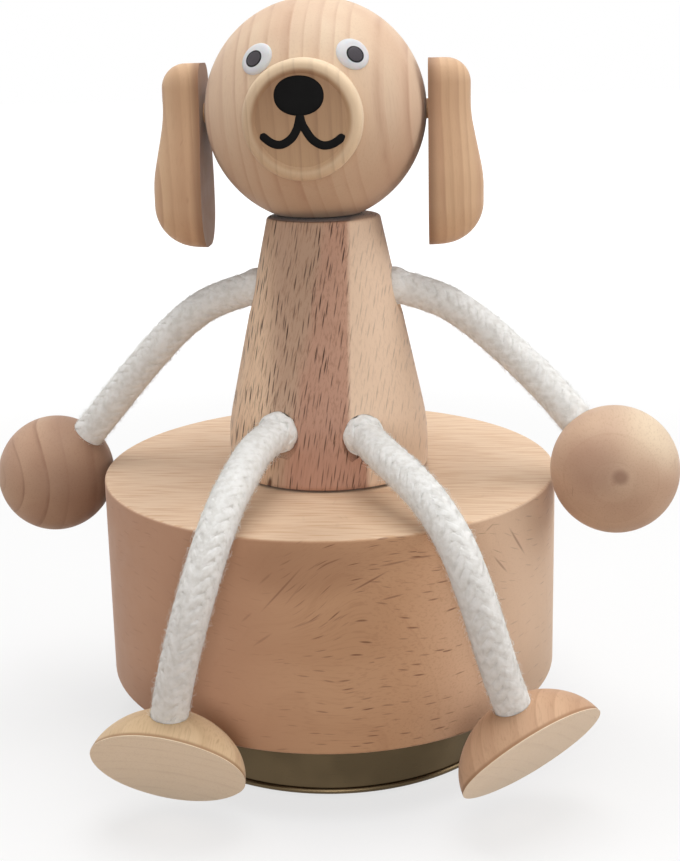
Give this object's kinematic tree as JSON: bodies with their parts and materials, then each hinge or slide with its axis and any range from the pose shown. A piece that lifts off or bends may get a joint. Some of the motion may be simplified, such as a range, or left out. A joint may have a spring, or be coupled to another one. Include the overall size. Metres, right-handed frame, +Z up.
{
  "type": "wooden music box",
  "caption": "Round beech music box that turns on a metal foot, with a seated wooden dog on top: ball head, flap ears, cone body, cord arms and legs with wooden paws.",
  "frame": {"origin": "middle of the foot's resting face, on the axis that the box turns about", "axes": "+Z up along the turning axis, -Y the way the dog faces, +X to the right of someone who looks at its face"},
  "size_m": [0.1433, 0.1082, 0.1528],
  "materials": {
    "drum_beech": "turned, satin oiled",
    "body_beech": "turned, satin oiled",
    "board_birch": "sawn board, matt",
    "maple": "turned, satin oiled",
    "hand_beech": "turned, satin oiled",
    "dowel_wood": "plain dowel, matt",
    "cotton_cord": "braided cotton, matt",
    "foot_bronze": "dark bronze plating, soft gloss",
    "felt": "pressed wool felt",
    "zinc_screw": "zinc plated, turned",
    "cast_bed": "cast, cleaned",
    "steel": "turned and rolled, bright",
    "spring_steel": "tempered blue",
    "brass": "machined",
    "worm_plastic": "moulded"
  },
  "bodies": {
    "foot": {"foot_pad": "felt", "foot_cup": "foot_bronze", "foot_screw": "zinc_screw", "winding_arbor": "steel", "great_wheel": "brass", "ratchet_wheel": "brass", "click": "brass", "click_pin": "steel"},
    "box": {"base_housing": "drum_beech", "base_plate": "board_birch", "base_plate_screws": "zinc_screw", "bedplate": "cast_bed", "bedplate_screws": "zinc_screw", "spring_housing": "steel", "spring_housing_screws": "zinc_screw", "mainspring": "spring_steel", "comb": "steel", "comb_screws": "zinc_screw", "bearing_near": "steel", "bearing_far": "steel", "bearing_screws": "zinc_screw", "governor_frame": "steel", "governor_screw": "zinc_screw", "torso": "body_beech", "torso_screw": "zinc_screw", "neck_dowel": "dowel_wood", "arm_cord_core": "cotton_cord", "leg_cord_core_left": "cotton_cord", "leg_cord_core_right": "cotton_cord"},
    "cylinder": {"cylinder_barrel": "brass", "cylinder_pinion": "brass", "cylinder_gear": "brass", "cylinder_arbor": "steel"},
    "governor": {"governor_arbor": "steel", "governor_pinion": "brass", "worm_wheel": "worm_plastic"},
    "fly": {"worm": "steel", "fly_vane": "worm_plastic"},
    "head": {"head_ball": "maple", "muzzle": "maple", "ear_left": "maple", "ear_right": "maple", "ear_peg_left": "dowel_wood", "ear_peg_right": "dowel_wood"},
    "arm_left": {"arm_cord_left": "cotton_cord", "hand_ball_left": "hand_beech"},
    "arm_right": {"arm_cord_right": "cotton_cord", "hand_ball_right": "hand_beech"},
    "leg_left": {"leg_cord_left": "cotton_cord", "hind_paw_left": "maple"},
    "leg_right": {"leg_cord_right": "cotton_cord", "hind_paw_right": "maple"}
  },
  "joints": [
    {"name": "box_turn", "type": "hinge", "parent": "foot", "child": "box", "pos_m": [0, 0, 0], "axis": [0, 0, 1], "continuous": true},
    {"name": "cylinder_spin", "type": "hinge", "parent": "box", "child": "cylinder", "pos_m": [0, 0, 0.0267], "axis": [1, 0, 0], "continuous": true},
    {"name": "governor_spin", "type": "hinge", "parent": "box", "child": "governor", "pos_m": [0, 0.0105, 0.0267], "axis": [1, 0, 0], "continuous": true},
    {"name": "fly_spin", "type": "hinge", "parent": "box", "child": "fly", "pos_m": [0.0195, 0.0152, 0.0267], "axis": [0, 0, 1], "continuous": true},
    {"name": "head_turn", "type": "hinge", "parent": "box", "child": "head", "pos_m": [0, 0, 0.11], "axis": [0, 0, 1], "range_deg": [-90, 90]},
    {"name": "arm_left_swing", "type": "hinge", "parent": "box", "child": "arm_left", "pos_m": [-0.0142, 0, 0.0945], "axis": [-1, 0, 0], "range_deg": [-45, 100]},
    {"name": "arm_right_swing", "type": "hinge", "parent": "box", "child": "arm_right", "pos_m": [0.0142, 0, 0.0945], "axis": [-1, 0, 0], "range_deg": [-3, 100]},
    {"name": "leg_left_lift", "type": "hinge", "parent": "box", "child": "leg_left", "pos_m": [-0.0085, -0.0184, 0.0682], "axis": [-0.9237, 0.383, 0], "range_deg": [0, 40]},
    {"name": "leg_right_lift", "type": "hinge", "parent": "box", "child": "leg_right", "pos_m": [0.0085, -0.0184, 0.0676], "axis": [-0.9097, -0.4153, 0], "range_deg": [0, 40]}
  ],
  "couplings": [
    {"joint": "cylinder_spin", "follows": "box_turn", "ratio": -3},
    {"joint": "governor_spin", "follows": "box_turn", "ratio": 6},
    {"joint": "fly_spin", "follows": "box_turn", "ratio": -96}
  ]
}
